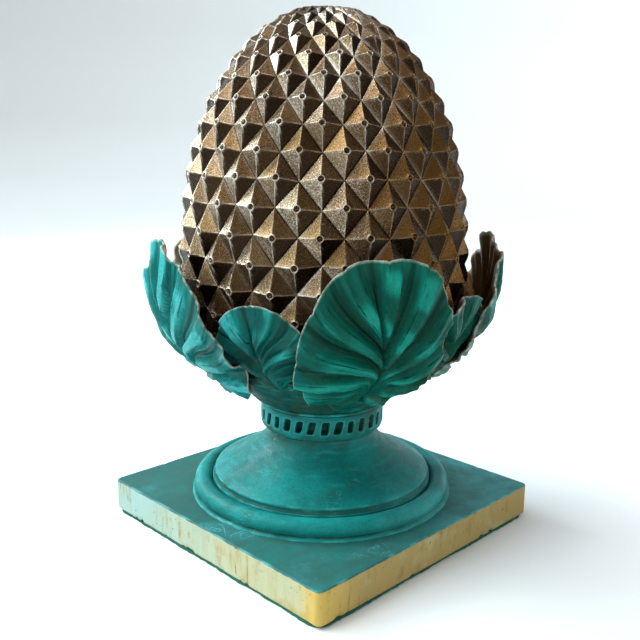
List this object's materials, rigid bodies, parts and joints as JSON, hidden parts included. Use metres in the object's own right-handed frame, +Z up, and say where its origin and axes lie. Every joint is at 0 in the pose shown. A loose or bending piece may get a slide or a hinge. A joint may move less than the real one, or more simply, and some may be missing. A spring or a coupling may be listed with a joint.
{
  "type": "pinecone finial",
  "caption": "Cast pinecone in a calyx of lobed leaves on a waisted round foot with a slotted collar and a square felted plinth.",
  "frame": {"origin": "middle of the underside of the felt pad, on the axis of the foot and cone", "axes": "+Z up along the axis of the cone; the plinth's sides run along X and Y"},
  "size_m": [0.2219, 0.2235, 0.3308],
  "materials": {
    "painted_casting": "cast composition painted satin verdigris teal, the cone dark metallic bronze, the plinth's sides bare cream",
    "felt": "dark green craft felt"
  },
  "bodies": {
    "root": {"finial_casting": "painted_casting", "felt_pad": "felt"}
  },
  "joints": []
}
